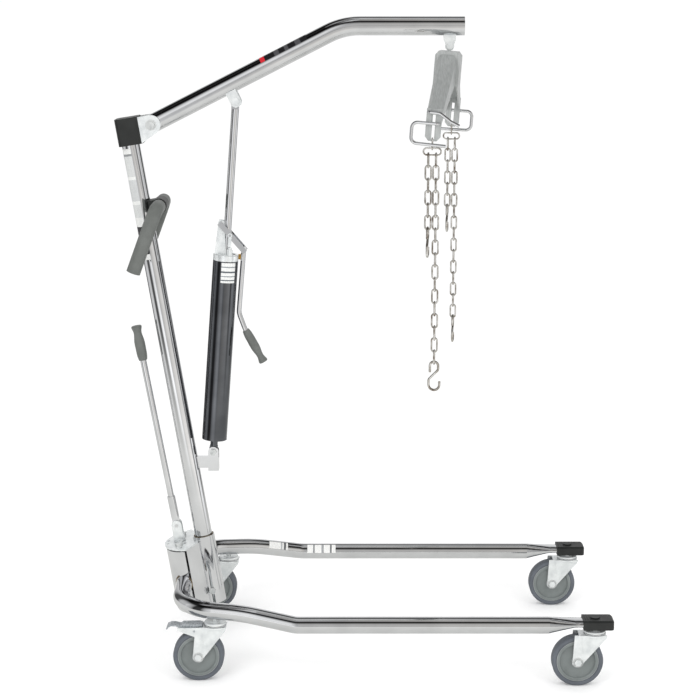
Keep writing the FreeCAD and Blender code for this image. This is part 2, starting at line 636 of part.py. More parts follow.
# Hydraulic ram and its hand pump
def makeRam():
    slot = 2 * glandPlay
    tubeShape = cyl(cylinderRadius, cylinderHigh - cylinderLow, Vec(0, 0, cylinderLow))
    tubeShape = tubeShape.cut(cyl(cylinderBore, cylinderHigh - cylinderLow, Vec(0, 0, cylinderLow + 8)))
    # round neck below the tube, down to a flat eye in the lower clevis
    foot = cyl(9.5, 21, Vec(0, 0, 14)).fuse(block(Vec(-10.5, -6.8, 0), Vec(10.5, 6.8, 15)))
    foot = foot.fuse(cyl(10.5, 13.6, Vec(0, -6.8, 0), alongY))
    foot = foot.cut(cyl(5 + runFit, 60, Vec(0, -30, 0), alongY))
    save("ram_cylinder", [onRam(tubeShape.fuse(foot).removeSplitter())])

    head = cyl(cylinderRadius, headHigh - cylinderHigh, Vec(0, 0, cylinderHigh))
    head = head.makeChamfer(2, [head.Edges[0]])
    plunger = Vec(10, -21.5, 0)
    head = head.fuse(cyl(7.2, 30, plunger + alongZ * cylinderHigh))
    for side in (-1, 1):
        yLow = 11.0 if side > 0 else -14.0
        ear = sidePlate([(-29, headHigh - 8), (2, headHigh - 8), (-9, 600), (-23, 600)], yLow, yLow + 3)
        head = head.fuse(ear)
    opening = block(Vec(-glandPlay, -rodRadius - 0.1, 490), Vec(glandPlay, rodRadius + 0.1, 520))
    for x in (-glandPlay, glandPlay):
        opening = opening.fuse(cyl(rodRadius + 0.1, 30, Vec(x, 0, 490)))
    head = head.cut(opening).cut(cyl(4.5 + runFit, 27, plunger + alongZ * 504))
    pivot = Vec(-16, 0, 590)
    head = head.cut(cyl(4, 60, pivot - alongY * 30, alongY))
    head = head.cut(cyl(5 + runFit, 30, Vec(20, valveSide, 508), alongX)).removeSplitter()
    save("pump_head", [onRam(head)])

    reach = ramRun.Length
    shaft = cyl(rodRadius, reach - 8 - rodEnd, Vec(0, 0, rodEnd))
    eye = block(Vec(-rodRadius, -8, reach - 20), Vec(rodRadius, 8, reach)).fuse(
        cyl(rodRadius + 2.5, 16, Vec(0, -8, reach), alongY))
    piston = cyl(11, 30, Vec(0, 0, rodEnd))
    shaft = shaft.cut(block(Vec(-30, 8, reach - 20), Vec(30, 30, reach + 30)))
    shaft = shaft.cut(block(Vec(-30, -30, reach - 20), Vec(30, -8, reach + 30)))
    shaft = shaft.fuse(eye).fuse(piston).cut(cyl(6 + runFit, 60, Vec(0, -30, reach), alongY))
    save("ram_rod", [onRam(shaft.removeSplitter())])

    # fork of two flat bars from the pivot to the bend, then one tube down to the grip
    bend = Vec(44, 0, 530)
    down = Vec(42, 0, 367)
    gripStart = Vec(60, 0, 327)
    gripEnd = Vec(110, 0, 250)
    bars = []
    along = (bend - pivot).normalize()
    across = along.cross(alongY)
    for side in (-1, 1):
        yLow = 14.6 if side > 0 else -18.6
        corners = [pivot - along * 7 + across * 6.5, bend + along * 6 + across * 6.5,
                   bend + along * 6 - across * 6.5, pivot - along * 7 - across * 6.5]
        bars.append(plate([Vec(c.x, yLow, c.z) for c in corners], 4, alongY))
    neck = cyl(6.2, 37.2, Vec(bend.x, -18.6, bend.z), alongY)
    stick = rod([bend, down, gripStart, gripEnd], [40, 60], 6.2)
    # two stub pins, so that the ram rod passes between them
    pivotPin = cyl(4 - runFit, 10.5, pivot - alongY * 21, alongY)
    otherPin = cyl(4 - runFit, 10.5, pivot + alongY * 10.5, alongY)
    linkPin = cyl(3, 9, Vec(8, -24, 566), alongY)
    handle = stick.fuse(bars + [neck, pivotPin, otherPin, linkPin]).removeSplitter()
    save("pump_handle", [onRam(handle)])
    gripUnit = (gripEnd - gripStart).normalize()
    grip = mouldedGrip(gripStart + gripUnit * 4, gripUnit, 94, 6.2)
    save("pump_grip", [onRam(grip.cut(handle))])

    # link from the handle to the pump plunger
    bar = block(Vec(4.5, -23.5, 537), Vec(12.5, -19.6, 566)).fuse(cyl(5.5, 3.9, Vec(8, -23.5, 566), alongY))
    bar = bar.cut(cyl(3 + runFit, 30, Vec(8, -30, 566), alongY)).removeSplitter()
    save("pump_link", [onRam(bar)])
    plug = cyl(4.5, 31, Vec(10, -21.5, 504.5))
    save("pump_plunger", [onRam(plug)])

    valve = cyl(5, 10, Vec(20.5, valveSide, 508), alongX)
    knob = cyl(7, 7, Vec(30.3, valveSide, 508), alongX)
    wing = block(Vec(36, valveSide - 1.5, 499), Vec(46, valveSide + 1.5, 517))
    valve = valve.fuse(knob).fuse(wing)
    save("release_valve", [onRam(valve.removeSplitter())])


def mouldedGrip(base, direction, length, shaftRadius):
    # hand grip: fat in the palm, waisted below its flared end; shares and radii over the shaft
    shape = ((0, 2.4), (0.05, 3.5), (0.35, 5.2), (0.6, 4.6), (0.83, 2.4), (0.93, 4.8), (0.98, 5.2), (1, 3.8))
    curve = Part.BSplineCurve()
    curve.interpolate([Vec(shaftRadius + over, 0, share * length) for share, over in shape])
    start = Vec(shaftRadius + shape[0][1], 0, 0)
    finish = Vec(shaftRadius + shape[-1][1], 0, length)
    edges = [curve.toShape()] + Part.makePolygon([finish, Vec(0, 0, length), Vec(0, 0, 0), start]).Edges
    grip = Part.Face(Part.Wire(Part.__sortEdges__(edges))).revolve(Vec(0, 0, 0), alongZ, 360)
    grip.Placement = FreeCAD.Placement(base, FreeCAD.Rotation(alongZ, direction))
    return grip


def camSlot(side):
    # path of a leg's follower pin, seen from the turning cam plate
    steps = 12
    width = followerRadius + 0.35
    pieces = []
    previous = None
    for index in range(steps + 1):
        share = index / steps * 1.06 - 0.03
        legTurn = math.radians(legOpen * share) * side
        arm = Vec(followerBack - pivotBack, side * (followerSide - pivotSide), 0)
        turned = Vec(arm.x * math.cos(legTurn) - arm.y * math.sin(legTurn),
                     arm.x * math.sin(legTurn) + arm.y * math.cos(legTurn), 0)
        point = Vec(pivotBack - shaftBack, side * pivotSide, 0) + turned
        back = -math.radians(leverSwing * share)
        spot = Vec(shaftBack + point.x * math.cos(back) - point.y * math.sin(back),
                   point.x * math.sin(back) + point.y * math.cos(back), 206)
        pieces.append(cyl(width, 12, spot))
        if previous is not None:
            step = spot - previous
            sideways = step.cross(alongZ).normalize() * width
            corners = [previous - sideways, spot - sideways, spot + sideways, previous + sideways]
            pieces.append(plate(corners, 12, alongZ))
        previous = spot
    return pieces[0].fuse(pieces[1:])


# Shifter: shaft with its clevis, slotted cam plate, lever and grip
def makeShifter():
    axis = Vec(shaftBack, 0, 0)
    shaft = cyl(10, 196, axis + alongZ * 108)
    clevis = block(Vec(shaftBack - 13, -13, 298), Vec(shaftBack + 13, 13, 310))
    for yLow in (-13, 8.2):
        clevis = clevis.fuse(block(Vec(shaftBack - 13, yLow, 304), Vec(shaftBack + 13, yLow + 4.8, 336)))
        clevis = clevis.fuse(cyl(13, 4.8, Vec(shaftBack, yLow, 336), alongY))
    shaft = shaft.fuse(clevis).fuse(cyl(15, 6, axis + alongZ * 292))
    shaft = shaft.cut(cyl(4, 60, Vec(shaftBack, -30, 336), alongY))
    sectorLow = Vec(shaftBack - 2, -camRadius, camLow)
    sector = block(sectorLow, Vec(shaftBack + camRadius, camRadius, camLow + camThick))
    cam = cyl(camRadius, camThick, axis + alongZ * camLow).common(sector)
    cam = cam.fuse(cyl(15, camThick, axis + alongZ * camLow))
    cam = cam.cut(camSlot(-1)).cut(camSlot(1)).cut(cyl(10, 50, axis + alongZ * 190)).removeSplitter()
    save("shift_cam", [lean(cam)])
    save("shifter_shaft", [lean(shaft.removeSplitter())])

    leanBack = 0.8
    low = Vec(shaftBack, 0, 336)
    lever = cyl(leverRadius, 455, low + alongZ * 16).fuse(cyl(10.5, 60, low + alongZ * 18))
    eye = block(Vec(shaftBack - 9, -8, 336), Vec(shaftBack + 9, 8, 360))
    eye = eye.fuse(cyl(9, 16, Vec(shaftBack, -8, 336), alongY))
    lever = lever.fuse(eye).fuse(cyl(4 - runFit, 30, Vec(shaftBack, -15, 336), alongY)).removeSplitter()
    gripBase = low + alongZ * 445
    lever = lever.fuse(cyl(leverRadius, 60, gripBase))
    grip = mouldedGrip(gripBase, alongZ, 90, leverRadius).cut(cyl(leverRadius, 60, gripBase))
    for name, shape in (("shifter_lever", lever.removeSplitter()), ("shifter_grip", grip)):
        shape.rotate(low, alongY, -leanBack)
        save(name, [lean(shape)])


makeMast()
makeMastHead()
makePushHandle()
makeLowerBracket()
makeLeg(-1, "right")
makeLeg(1, "left")
corners = (("front_right", frontSwivel, -1, 133.0, False), ("front_left", frontSwivel, 1, 133.0, False),
           ("rear_right", rearSwivel, -1, 141.0, True), ("rear_left", rearSwivel, 1, 141.0, True))
for label, spot, side, forkTop, pedal in corners:
    makeCastor(Vec(spot.x, side * spot.y, 0), label, forkTop, pedal)
makeBoom()
makeHanger()
makeCradle()
makeChains()
makeRam()
makeShifter()
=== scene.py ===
import json
import math

import bmesh
import bpy
from mathutils import Matrix, Vector


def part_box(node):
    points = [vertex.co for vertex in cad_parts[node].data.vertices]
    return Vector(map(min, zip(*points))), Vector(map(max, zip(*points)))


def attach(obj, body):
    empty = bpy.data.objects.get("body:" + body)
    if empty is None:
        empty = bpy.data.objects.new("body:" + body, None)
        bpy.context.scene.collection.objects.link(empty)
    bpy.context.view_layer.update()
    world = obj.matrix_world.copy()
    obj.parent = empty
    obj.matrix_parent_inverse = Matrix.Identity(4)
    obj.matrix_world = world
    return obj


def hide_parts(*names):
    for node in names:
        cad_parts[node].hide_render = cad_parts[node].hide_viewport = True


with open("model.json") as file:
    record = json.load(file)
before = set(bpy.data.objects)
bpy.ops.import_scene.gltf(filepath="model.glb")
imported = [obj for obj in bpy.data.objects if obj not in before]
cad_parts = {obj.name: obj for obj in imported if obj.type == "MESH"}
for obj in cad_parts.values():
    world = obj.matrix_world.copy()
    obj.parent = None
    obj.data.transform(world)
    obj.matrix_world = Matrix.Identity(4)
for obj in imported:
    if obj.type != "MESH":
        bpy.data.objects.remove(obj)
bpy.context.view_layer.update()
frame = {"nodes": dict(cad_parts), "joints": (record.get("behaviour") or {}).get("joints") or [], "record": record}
bpy.ops.object.select_all(action="DESELECT")
nodes = frame["nodes"]
joints = {joint["name"]: joint for joint in frame["joints"]}
mm = 0.001
alongX = Vector((1, 0, 0))
alongY = Vector((0, 1, 0))
alongZ = Vector((0, 0, 1))
print("frame loaded")


# Colour and node helpers

def hexColour(code):
    # sRGB hex to the linear values the shader wants
    parts = [int(code[i:i + 2], 16) / 255 for i in (0, 2, 4)]
    linear = [c / 12.92 if c <= 0.04045 else ((c + 0.055) / 1.055) ** 2.4 for c in parts]
    return (*linear, 1.0)


def addNode(tree, kind, settings=None, inputs=None):
    # settings are the node's own values, inputs are numbers or (node, output) links
    node = tree.nodes.new(kind)
    for name, value in (settings or {}).items():
        setattr(node, name, value)
    for name, value in (inputs or {}).items():
        if isinstance(value, tuple) and isinstance(value[0], bpy.types.Node):
            tree.links.new(value[0].outputs[value[1]], node.inputs[name])
        else:
            node.inputs[name].default_value = value
    return node


def addRamp(tree, source, stops, blend="LINEAR"):
    ramp = addNode(tree, "ShaderNodeValToRGB", {}, {"Fac": source})
    ramp.color_ramp.interpolation = blend
    while len(ramp.color_ramp.elements) < len(stops):
        ramp.color_ramp.elements.new(0.5)
    for element, (position, colour) in zip(ramp.color_ramp.elements, stops):
        element.position = position
        element.color = colour
    return ramp


def newMaterial(name):
    material = bpy.data.materials.new(name)
    material.use_nodes = True
    tree = material.node_tree
    tree.nodes.clear()
    shader = addNode(tree, "ShaderNodeBsdfPrincipled")
    addNode(tree, "ShaderNodeOutputMaterial", {}, {"Surface": (shader, "BSDF")})
    coords = addNode(tree, "ShaderNodeTexCoord")
    return material, tree, shader, (coords, "Object")


def grey(value):
    return (value, value, value, 1)


def addNoise(tree, place, sizeMm, detail):
    return addNode(tree, "ShaderNodeTexNoise", {}, {"Vector": place, "Scale": 1000 / sizeMm, "Detail": detail})


def addRange(tree, source, given, wanted):
    return addNode(tree, "ShaderNodeMapRange", {}, {"Value": source, "From Min": given[0], "From Max": given[1],
                                                    "To Min": wanted[0], "To Max": wanted[1]})


def addBump(tree, shader, height, distance, strength):
    bump = addNode(tree, "ShaderNodeBump", {}, {"Strength": strength, "Distance": distance, "Height": height})
    tree.links.new(bump.outputs["Normal"], shader.inputs["Normal"])


def linkLook(tree, shader, tone, rough=None):
    tree.links.new(tone.outputs["Color"], shader.inputs["Base Color"])
    if rough:
        tree.links.new(rough.outputs["Result"], shader.inputs["Roughness"])


# Materials, one function for each finish

chromeLook = {"tint": "E4E5E7", "smudge": "D9DADC", "roughLow": 0.03, "roughHigh": 0.075, "smudgeMm": 70,
              "polishMm": 24, "polishDepth": 0.00006}


def polishedChrome(name="polishedChromePlate", tint=None, smudge=None):
    # chrome plate on steel tube: a hard mirror with faint handling smears
    material, tree, shader, place = newMaterial(name)
    look = chromeLook
    smear = addNoise(tree, place, look["smudgeMm"], 4.0)
    tone = addRamp(tree, (smear, "Fac"), [(0.35, hexColour(smudge or look["smudge"])),
                                          (0.65, hexColour(tint or look["tint"]))])
    rough = addRange(tree, (smear, "Fac"), (0.3, 0.75), (look["roughLow"], look["roughHigh"]))
    polish = addNoise(tree, place, look["polishMm"], 2.0)
    addBump(tree, shader, (polish, "Fac"), look["polishDepth"], 0.2)
    shader.inputs["Metallic"].default_value = 1.0
    linkLook(tree, shader, tone, rough)
    return material


zincLook = {"light": "F1F4F4", "dark": "D8DCDD", "spangleMm": 5, "cloudMm": 22, "rough": (0.16, 0.26),
            "metal": 0.5, "grainDepth": 0.00006}


def brightZinc(name="brightZincPlate", light=None, dark=None, rough=None):
    # zinc electroplate on pressed steel: near white, softly mirrored, with small cloudy grains
    material, tree, shader, place = newMaterial(name)
    look = zincLook
    cloud = addNoise(tree, place, look["cloudMm"], 6.0)
    grain = addNode(tree, "ShaderNodeTexVoronoi", {}, {"Vector": place, "Scale": 1000 / look["spangleMm"]})
    mixed = addNode(tree, "ShaderNodeMath", {"operation": "MULTIPLY_ADD"},
                    {0: (grain, "Distance"), 1: 0.1, 2: (cloud, "Fac")})
    tone = addRamp(tree, (mixed, "Value"), [(0.36, hexColour(dark or look["dark"])),
                                            (0.7, hexColour(light or look["light"]))])
    polish = addRange(tree, (mixed, "Value"), (0.3, 0.9), rough or look["rough"])
    addBump(tree, shader, (mixed, "Value"), look["grainDepth"], 0.15)
    shader.inputs["Metallic"].default_value = look["metal"]
    linkLook(tree, shader, tone, polish)
    return material


enamelLook = {"light": "C3C6C5", "dark": "A6A9A8", "flakeMm": 0.8, "flakeDepth": 0.00004,
              "brushScale": (400, 60, 30), "metal": 0.5, "rough": 0.42, "coat": 0.15, "coatRough": 0.2}


def greyEnamel():
    # stoved metallic enamel on the cradle pressing: satin mid grey with fine flake
    material, tree, shader, place = newMaterial("metallicGreyEnamel")
    look = enamelLook
    flake = addNoise(tree, place, look["flakeMm"], 1.0)
    brushed = addNode(tree, "ShaderNodeMapping", {}, {"Vector": place, "Scale": look["brushScale"]})
    drag = addNode(tree, "ShaderNodeTexNoise", {}, {"Vector": (brushed, "Vector"), "Scale": 1.0, "Detail": 3.0})
    mixed = addNode(tree, "ShaderNodeMath", {"operation": "MULTIPLY_ADD"},
                    {0: (flake, "Fac"), 1: 0.4, 2: (drag, "Fac")})
    tone = addRamp(tree, (mixed, "Value"), [(0.45, hexColour(look["dark"])), (0.95, hexColour(look["light"]))])
    addBump(tree, shader, (flake, "Fac"), look["flakeDepth"], 0.4)
    shader.inputs["Metallic"].default_value = look["metal"]
    shader.inputs["Roughness"].default_value = look["rough"]
    shader.inputs["Coat Weight"].default_value = look["coat"]
    shader.inputs["Coat Roughness"].default_value = look["coatRough"]
    linkLook(tree, shader, tone)
    return material


plasticLook = {"cloudMm": 35, "roughSpread": 0.06, "grainStrength": 0.5}


def mouldedPlastic(name, light, dark, rough, grainMm, depth):
    # injection moulded plastic: fine spark-eroded grain, slightly uneven tone
    material, tree, shader, place = newMaterial(name)
    spread = plasticLook["roughSpread"]
    grain = addNoise(tree, place, grainMm, 2.0)
    cloud = addNoise(tree, place, plasticLook["cloudMm"], 3.0)
    tone = addRamp(tree, (cloud, "Fac"), [(0.3, hexColour(dark)), (0.7, hexColour(light))])
    roughness = addRange(tree, (cloud, "Fac"), (0.3, 0.7), (rough - spread, rough + spread))
    addBump(tree, shader, (grain, "Fac"), depth, plasticLook["grainStrength"])
    linkLook(tree, shader, tone, roughness)
    return material


wireLook = {"tarnishMm": 14, "tarnishDepth": 0.0001, "rough": (0.32, 0.1),
            "tones": [(0.34, "8B7F74"), (0.46, "CBC7C0"), (0.62, "EFEDEA")]}


def chainWire():
    # nickel plated welded wire: bright crowns, brown tarnish at the welds and in the bends
    material, tree, shader, place = newMaterial("nickelPlatedWire")
    tarnish = addNoise(tree, place, wireLook["tarnishMm"], 5.0)
    tone = addRamp(tree, (tarnish, "Fac"), [(at, hexColour(code)) for at, code in wireLook["tones"]])
    rough = addRange(tree, (tarnish, "Fac"), (0.3, 0.7), wireLook["rough"])
    addBump(tree, shader, (tarnish, "Fac"), wireLook["tarnishDepth"], 0.4)
    shader.inputs["Metallic"].default_value = 1.0
    linkLook(tree, shader, tone, rough)
    return material


weldLook = {"tintMm": 9, "rippleMm": 1.8, "rippleDepth": 0.0006, "rough": 0.38, "lumpMm": 4, "lumpHeight": 0.5,
            "tones": [(0.38, "6B5A48"), (0.55, "A3977F"), (0.7, "C9C6BF")]}


def weldMetal():
    # heat-tinted weld metal under thin plate: straw to brown, rippled across the run
    material, tree, shader, place = newMaterial("heatTintedWeld")
    tint = addNoise(tree, place, weldLook["tintMm"], 3.0)
    tone = addRamp(tree, (tint, "Fac"), [(at, hexColour(code)) for at, code in weldLook["tones"]])
    ripple = addNoise(tree, place, weldLook["rippleMm"], 1.0)
    addBump(tree, shader, (ripple, "Fac"), weldLook["rippleDepth"], 0.8)
    shader.inputs["Metallic"].default_value = 1.0
    shader.inputs["Roughness"].default_value = weldLook["rough"]
    linkLook(tree, shader, tone)
    return material


labelLook = {"film": 0.15, "filmThick": 0.12, "printMm": 1.6, "rough": 0.28}


def printedLabel(name, origin, axis, length, label):
    # gloss polyester label: flat blocks of ink along its length, with rows of fine print too small to read
    material, tree, shader, place = newMaterial(name)
    along = addNode(tree, "ShaderNodeVectorMath", {"operation": "DOT_PRODUCT"}, {0: place, 1: tuple(axis)})
    fromStart = addNode(tree, "ShaderNodeMath", {"operation": "SUBTRACT"},
                        {0: (along, "Value"), 1: origin.dot(axis)})
    share = addNode(tree, "ShaderNodeMath", {"operation": "MULTIPLY"}, {0: (fromStart, "Value"), 1: 1 / length})
    stops = [(at, hexColour(code)) for at, code in label["blocks"]]
    blocks = addRamp(tree, (share, "Value"), stops, "CONSTANT")
    speck = addNoise(tree, place, labelLook["printMm"], 1.0)
    inked = addRamp(tree, (speck, "Fac"), [(0.0, grey(0.45)), (0.43, grey(0.6)), (0.47, grey(1.0))])
    mixed = addNode(tree, "ShaderNodeMix", {"data_type": "RGBA", "blend_type": "MULTIPLY"},
                    {"Factor": label["print"]})
    tree.links.new(blocks.outputs["Color"], mixed.inputs["A"])
    tree.links.new(inked.outputs["Color"], mixed.inputs["B"])
    tree.links.new(mixed.outputs["Result"], shader.inputs["Base Color"])
    shader.inputs["Roughness"].default_value = labelLook["rough"]
    return material


chrome = polishedChrome()
darkChrome = polishedChrome("hardChromeCylinder", "6A6C70", "5C5E62")
zinc = brightZinc()
boltZinc = brightZinc("whiteZincBolts", "DDDFDE", "B4B7B7", (0.16, 0.26))
pressedZinc = brightZinc("pressedPedalZinc", "B7BCC0", "969CA1", (0.22, 0.34))
enamel = greyEnamel()
blackPlastic = mouldedPlastic("mouldedBlackPolypropylene", "232524", "171918", 0.46, 1.3, 0.0002)
greyVinyl = mouldedPlastic("dippedGreyVinyl", "696C69", "5D605D", 0.5, 1.6, 0.00012)
tyreRubber = mouldedPlastic("nonMarkingGreyRubber", "61666D", "555A61", 0.62, 1.2, 0.0001)
wheelPlastic = mouldedPlastic("lightGreyPolypropylene", "989C9C", "8B8F8F", 0.48, 1.4, 0.0001)
discPlastic = mouldedPlastic("grainedGreyPolypropylene", "7C8281", "6E7473", 0.55, 2.2, 0.0003)
brassMetal = brightZinc("turnedBrass", "D9A94E", "A87A2C")
chainMetal = chainWire()
weld = weldMetal()
finishes = {"chrome_tube": chrome, "zinc_plate": zinc, "cradle_paint": enamel, "black_plastic": blackPlastic,
            "grey_vinyl": greyVinyl, "tyre_grey": tyreRubber, "wheel_grey": wheelPlastic, "brass": brassMetal,
            "chain_steel": chainMetal}
ownFinish = {"ram_cylinder": darkChrome, "base_bolts": boltZinc, "frame_bolts": boltZinc,
             "brake_pedal_right": pressedZinc, "brake_pedal_left": pressedZinc}
for part in frame["record"]["subparts"]:
    mesh = nodes[part["node"]].data
    mesh.materials.clear()
    mesh.materials.append(ownFinish.get(part["node"], finishes[part["material_slot"]]))
print("materials given to the CAD nodes")


# Modelling helpers

def startPiece():
    bpy.ops.object.select_all(action="DESELECT")


def settlePiece(piece):
    startPiece()
    piece.select_set(True)
    bpy.context.view_layer.objects.active = piece
    bpy.ops.object.transform_apply(location=True, rotation=True, scale=True)


def finishPiece(piece, material, body, smooth=35):
    settlePiece(piece)
    bpy.ops.object.shade_smooth_by_angle(angle=math.radians(smooth))
    piece.data.materials.clear()
    piece.data.materials.append(material)
    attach(piece, body)
    return piece


def applyBevel(piece, width, segments=2):
    bevel = piece.modifiers.new("softEdges", "BEVEL")
    bevel.width = width
    bevel.segments = segments
    bevel.limit_method = "ANGLE"
    bevel.angle_limit = math.radians(35)
    bpy.ops.object.modifier_apply(modifier=bevel.name)


def turnedPiece(name, centre, axis, radius, length, steps, corners, soft, hollow=False):
    # round or six-sided stock, both ends worked by (inset, depth) steps in millimetres
    startPiece()
    heading = Vector(axis).to_track_quat("Z", "Y").to_euler()
    bpy.ops.mesh.primitive_cylinder_add(vertices=corners, radius=radius * mm, depth=length * mm,
                                        location=centre, rotation=heading)
    piece = bpy.context.object
    piece.name = name
    bpy.ops.object.mode_set(mode="EDIT")
    bpy.ops.mesh.select_all(action="DESELECT")
    bpy.ops.mesh.select_mode(type="FACE")
    shape = bmesh.from_edit_mesh(piece.data)
    for face in shape.faces:
        face.select = abs(face.normal.z) > 0.9
    bmesh.update_edit_mesh(piece.data)
    for inset, depth in steps:
        bpy.ops.mesh.inset(thickness=inset * mm, depth=depth * mm)
    if hollow:
        bpy.ops.mesh.bridge_edge_loops()
    bpy.ops.object.mode_set(mode="OBJECT")
    applyBevel(piece, soft * mm)
    settlePiece(piece)
    return piece


def copyPiece(piece, name, offset):
    # a moved copy with its own mesh
    twin = piece.copy()
    twin.data = piece.data.copy()
    twin.name = name
    bpy.context.collection.objects.link(twin)
    twin.data.transform(Matrix.Translation(offset))
    return twin


def wrappedLabel(name, foot, axis, label, body):
    # part of a sleeve that lies on a tube, kept within an angle of the way it faces
    start, end = (foot + axis * at * mm for at in label["span"])
    run = end - start
    material = printedLabel(name + "Film", start, axis, run.length, label)
    startPiece()
    heading = run.to_track_quat("Z", "Y").to_euler()
    bpy.ops.mesh.primitive_cylinder_add(vertices=128, radius=(label["tubeRadius"] + labelLook["film"]) * mm,
                                        depth=run.length, location=(start + end) / 2, rotation=heading,
                                        end_fill_type="NOTHING")
    piece = bpy.context.object
    piece.name = name
    turn = piece.matrix_world.to_3x3()
    bpy.ops.object.mode_set(mode="EDIT")
    bpy.ops.mesh.select_all(action="DESELECT")
    bpy.ops.mesh.select_mode(type="FACE")
    facing = Vector(label["facing"]).normalized()
    shape = bmesh.from_edit_mesh(piece.data)
    for face in shape.faces:
        face.select = (turn @ face.normal).dot(facing) < math.cos(math.radians(label["half"]))
    bmesh.update_edit_mesh(piece.data)
    bpy.ops.mesh.delete(type="FACE")
    bpy.ops.object.mode_set(mode="OBJECT")
    thick = piece.modifiers.new("filmThickness", "SOLIDIFY")
    thick.thickness = labelLook["filmThick"] * mm
    thick.offset = 1.0
    bpy.ops.object.modifier_apply(modifier=thick.name)
    finishPiece(piece, material, body)


def addRing(name, centre, radius, wire, heading=(0, 0, 0)):
    startPiece()
    bpy.ops.mesh.primitive_torus_add(location=centre, rotation=heading, major_radius=radius * mm,
                                     minor_radius=wire * mm, major_segments=96, minor_segments=12)
    ring = bpy.context.object
    ring.name = name
    return ring


def addBlock(name, centre, sizeMm, soft, heading=(0, 0, 0)):
    startPiece()
    bpy.ops.mesh.primitive_cube_add(size=1, location=centre, rotation=heading)
    block = bpy.context.object
    block.name = name
    block.scale = tuple(size * mm for size in sizeMm)
    bpy.ops.object.transform_apply(location=True, rotation=True, scale=True)
    applyBevel(block, soft * mm, 3)
    return block


def weldRing(name, centre, axis, bead, body):
    heading = Vector(axis).to_track_quat("Z", "Y").to_euler()
    piece = addRing(name, centre, bead["radius"], bead["wire"], heading)
    ripple = bpy.data.textures.new(name + "Ripple", "CLOUDS")
    ripple.noise_scale = weldLook["lumpMm"] * mm
    lumps = piece.modifiers.new("weldRipple", "DISPLACE")
    lumps.texture = ripple
    lumps.strength = weldLook["lumpHeight"] * mm
    bpy.ops.object.modifier_apply(modifier=lumps.name)
    finishPiece(piece, weld, body, 60)


# Castors: tyres, discs, rims and bosses, made once at the first wheel and copied to the others

wheelLook = {"tyreRadius": 63.4, "tyreWidth": 27.6, "tyreSteps": [(4.5, 2.0), (5.0, 0.0), (2.0, -2.4)],
             "discRadius": 51.6, "discWidth": 27,
             "discSteps": [(1.2, 0.8), (6.3, 0.4), (1.6, -5.0), (14.0, 0.8), (6.0, 2.2)],
             "bossRadius": 15.6, "bossWidth": 34.8, "bossSteps": [(2.2, 0.0), (1.0, -1.2)],
             "rimRadius": 52.0, "rimWidth": 28.4, "rimSteps": [(8.2, 0.0)]}
corners = {"front_right": "FrontRight", "front_left": "FrontLeft", "rear_right": "RearRight",
           "rear_left": "RearLeft"}
first = Vector(joints["roll_front_right"]["pos_m"])
tyre = turnedPiece("tyre", first, alongY, wheelLook["tyreRadius"], wheelLook["tyreWidth"],
                   wheelLook["tyreSteps"], 96, 1.6, True)
disc = turnedPiece("disc", first, alongY, wheelLook["discRadius"], wheelLook["discWidth"],
                   wheelLook["discSteps"], 96, 0.5)
boss = turnedPiece("boss", first, alongY, wheelLook["bossRadius"], wheelLook["bossWidth"],
                   wheelLook["bossSteps"], 64, 0.5)
rim = turnedPiece("rim", first, alongY, wheelLook["rimRadius"], wheelLook["rimWidth"],
                  wheelLook["rimSteps"], 96, 0.5, True)
for corner, suffix in corners.items():
    offset = Vector(joints["roll_" + corner]["pos_m"]) - first
    body = "wheel_" + corner
    made = finishPiece(copyPiece(tyre, "tyre" + suffix, offset), tyreRubber, body)
    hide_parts("tyre_" + corner)
    made = finishPiece(copyPiece(disc, "wheelDisc" + suffix, offset), discPlastic, body)
    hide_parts("wheel_" + corner)
    finishPiece(copyPiece(rim, "wheelRim" + suffix, offset), wheelPlastic, body)
    finishPiece(copyPiece(boss, "wheelBoss" + suffix, offset), wheelPlastic, body)
for piece in (tyre, disc, rim, boss):
    bpy.data.objects.remove(piece)
print("wheels made")


# Forks: axle washers, ball race rings and the crease down each side

forkLook = {"face": 22.0, "washerRadius": 12.5, "washerThick": 1.2, "washerLift": 0.5,
            "washerSteps": [(2.0, 0.5), (1.5, -0.5)], "raceRadius": 26.6, "raceWire": 1.5, "raceUp": 3.2,
            "creaseMm": (2.6, 1.2, 40.0), "creaseBack": 31.0, "creaseDown": 26.0, "creaseTilt": -8,
            "creaseSoft": 0.55}
face = forkLook["face"] * mm
washerReach = face + forkLook["washerLift"] * mm
creaseHeading = (0, math.radians(forkLook["creaseTilt"]), 0)
washer = turnedPiece("washer", first + alongY * washerReach, alongY, forkLook["washerRadius"],
                     forkLook["washerThick"], forkLook["washerSteps"], 64, 0.2)
for corner, suffix in corners.items():
    offset = Vector(joints["roll_" + corner]["pos_m"]) - first
    swivel = Vector(joints["swivel_" + corner]["pos_m"])
    body = "swivel_" + corner
    for side, shift in (("Left", 0), ("Right", -2 * washerReach)):
        made = copyPiece(washer, "axleWasher" + suffix + side, offset + alongY * shift)
        finishPiece(made, boltZinc, body)
    ring = addRing("ballRace" + suffix, swivel + alongZ * forkLook["raceUp"] * mm, forkLook["raceRadius"],
                   forkLook["raceWire"])
    finishPiece(ring, chrome, body, 60)
    for side, across in (("Left", 1), ("Right", -1)):
        spot = swivel + Vector((-forkLook["creaseBack"] * mm, across * face, -forkLook["creaseDown"] * mm))
        crease = addBlock("pressedCrease" + suffix + side, spot, forkLook["creaseMm"], forkLook["creaseSoft"],
                          creaseHeading)
        finishPiece(crease, zinc, body)
bpy.data.objects.remove(washer)
print("forks dressed")


# Toe cap ridges, one set for each leg

